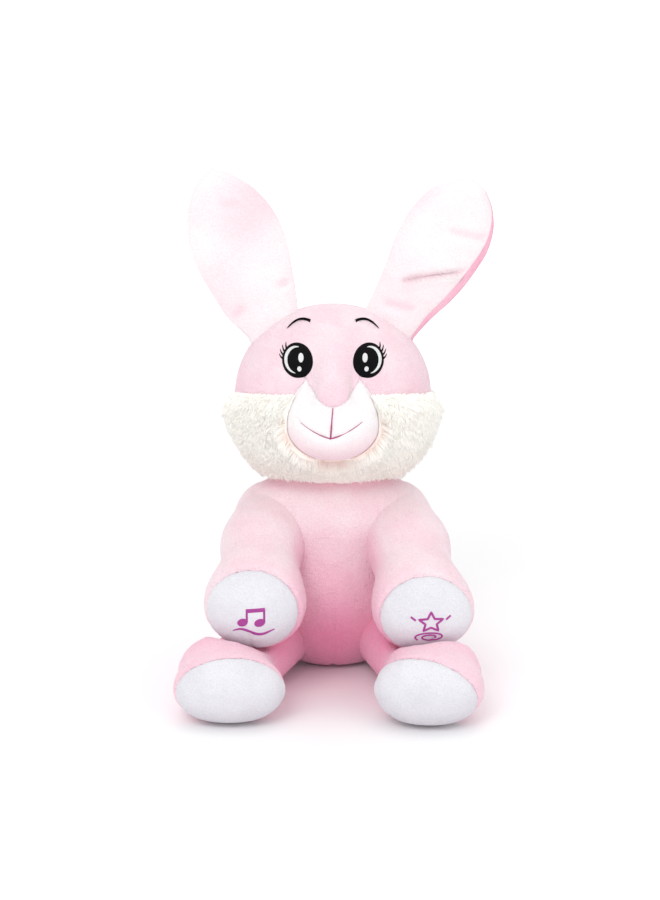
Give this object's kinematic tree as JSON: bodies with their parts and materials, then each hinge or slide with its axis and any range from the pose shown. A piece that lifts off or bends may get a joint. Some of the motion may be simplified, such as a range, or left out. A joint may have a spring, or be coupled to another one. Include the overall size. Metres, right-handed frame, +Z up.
{
  "type": "animated plush rabbit",
  "caption": "Sitting plush rabbit whose ears are flapped by a motor gearbox in the head, with press switches in its paws and a battery module in its back.",
  "frame": {"origin": "middle of the flat seat under the torso, on the surface that the toy sits on", "axes": "+Z up, the toy faces -Y, and its own left side is +X"},
  "size_m": [0.2136, 0.217, 0.3559],
  "materials": {
    "pink_plush": "short-pile pink plush, slightly mottled",
    "pink_ear_back": "short-pile pink plush",
    "white_velour": "white velour with a faint pink bloom",
    "white_pad": "cool white short-pile plush",
    "cream_fur": "long curly cream-white pile",
    "black_thread": "satin-stitch black embroidery",
    "pink_thread": "dusky pink stitched thread",
    "ivory_plastic": "moulded ABS with a fine texture",
    "black_plastic": "moulded plastic",
    "white_gear_plastic": "acetal",
    "bright_steel": "turned and plated",
    "bronze_bush": "sintered bronze",
    "cell_wrap": "printed sleeve with no marks",
    "green_board": "solder mask",
    "speaker_paper": "paper cone",
    "lead_rubber": "insulated lead"
  },
  "bodies": {
    "torso": {"torso_plush": "pink_plush", "tail": "pink_plush", "sound_case": "ivory_plastic", "battery_box": "ivory_plastic", "battery_cells": "cell_wrap", "battery_contacts": "bright_steel", "circuit_board": "green_board", "board_components": "black_plastic", "speaker_frame": "black_plastic", "speaker_cone": "speaker_paper", "speaker_magnet": "bright_steel", "switch_body": "black_plastic", "torso_leads": "lead_rubber"},
    "head": {"head_plush": "pink_plush", "cheek_fur": "cream_fur", "muzzle": "white_velour", "nose_gusset": "pink_plush", "mouth_stitching": "pink_thread", "eye_left": "black_thread", "eye_right": "black_thread", "brows": "black_thread", "gearbox_case_left": "ivory_plastic", "gearbox_case_right": "ivory_plastic", "gearbox_screws": "bright_steel", "gear_axles": "bright_steel", "shaft_bushes": "bronze_bush", "motor_can": "bright_steel", "head_lead": "lead_rubber"},
    "ears": {"ear_shaft": "bright_steel", "sector_gear": "white_gear_plastic", "ear_paddle_left": "white_gear_plastic", "ear_paddle_right": "white_gear_plastic", "ear_front_left": "white_velour", "ear_front_right": "white_velour", "ear_back_left": "pink_ear_back", "ear_back_right": "pink_ear_back"},
    "second_gear_body": {"second_gear": "white_gear_plastic"},
    "first_gear_body": {"first_gear": "white_gear_plastic"},
    "motor_rotor": {"motor_shaft": "bright_steel", "motor_pinion": "white_gear_plastic"},
    "battery_door_body": {"battery_door": "ivory_plastic", "battery_door_screw": "bright_steel"},
    "switch_slider_body": {"switch_slider": "black_plastic"},
    "arm_left_body": {"arm_left": "pink_plush", "paw_switch_case_left": "ivory_plastic", "paw_lead_left": "lead_rubber"},
    "paw_press_left_body": {"paw_pad_left": "white_pad", "paw_button_left": "white_gear_plastic"},
    "leg_left_body": {"leg_left": "pink_plush", "foot_sole_left": "white_pad"},
    "arm_right_body": {"arm_right": "pink_plush", "paw_switch_case_right": "ivory_plastic", "paw_lead_right": "lead_rubber"},
    "paw_press_right_body": {"paw_pad_right": "white_pad", "paw_button_right": "white_gear_plastic"},
    "leg_right_body": {"leg_right": "pink_plush", "foot_sole_right": "white_pad"}
  },
  "joints": [
    {"name": "head_turn", "type": "hinge", "parent": "torso", "child": "head", "pos_m": [0, -0.005, 0.131], "axis": [0, 0, 1], "range_deg": [-20, 20], "stiffness_Nm_per_rad": 0.06},
    {"name": "ear_flap", "type": "hinge", "parent": "head", "child": "ears", "pos_m": [0, -0.006, 0.252], "axis": [1, 0, 0], "range_deg": [0, 70]},
    {"name": "second_gear_spin", "type": "hinge", "parent": "head", "child": "second_gear_body", "pos_m": [0.005, -0.006, 0.2352], "axis": [1, 0, 0], "range_deg": [-180, 0]},
    {"name": "first_gear_spin", "type": "hinge", "parent": "head", "child": "first_gear_body", "pos_m": [0.008, -0.01564, 0.22144], "axis": [1, 0, 0], "range_deg": [0, 450]},
    {"name": "motor_spin", "type": "hinge", "parent": "head", "child": "motor_rotor", "pos_m": [0, -0.00093, 0.2091], "axis": [1, 0, 0], "range_deg": [-1350, 0]},
    {"name": "battery_door_lift", "type": "slide", "parent": "torso", "child": "battery_door_body", "axis": [0, 1, 0], "range_m": [0, 0.02]},
    {"name": "power_switch", "type": "slide", "parent": "torso", "child": "switch_slider_body", "axis": [1, 0, 0], "range_m": [0, 0.004]},
    {"name": "shoulder_left", "type": "hinge", "parent": "torso", "child": "arm_left_body", "pos_m": [0.047, -0.012, 0.1125], "axis": [-0.3608, -0.441, 0.8218], "range_deg": [0, 60]},
    {"name": "paw_press_left", "type": "slide", "parent": "arm_left_body", "child": "paw_press_left_body", "axis": [-0.0606, 0.8815, 0.4683], "range_m": [0, 0.0015], "stiffness_N_per_m": 900},
    {"name": "hip_left", "type": "hinge", "parent": "torso", "child": "leg_left_body", "pos_m": [0.036, -0.018, 0.023], "axis": [0, 0, 1], "range_deg": [0, 20]},
    {"name": "shoulder_right", "type": "hinge", "parent": "torso", "child": "arm_right_body", "pos_m": [-0.047, -0.012, 0.1125], "axis": [-0.3608, 0.441, -0.8218], "range_deg": [0, 60]},
    {"name": "paw_press_right", "type": "slide", "parent": "arm_right_body", "child": "paw_press_right_body", "axis": [0.0606, 0.8815, 0.4683], "range_m": [0, 0.0015], "stiffness_N_per_m": 900},
    {"name": "hip_right", "type": "hinge", "parent": "torso", "child": "leg_right_body", "pos_m": [-0.036, -0.018, 0.023], "axis": [0, 0, -1], "range_deg": [0, 20]}
  ],
  "couplings": [
    {"joint": "second_gear_spin", "follows": "ear_flap", "ratio": -2.5},
    {"joint": "first_gear_spin", "follows": "ear_flap", "ratio": 6.25},
    {"joint": "motor_spin", "follows": "ear_flap", "ratio": -18.75}
  ]
}
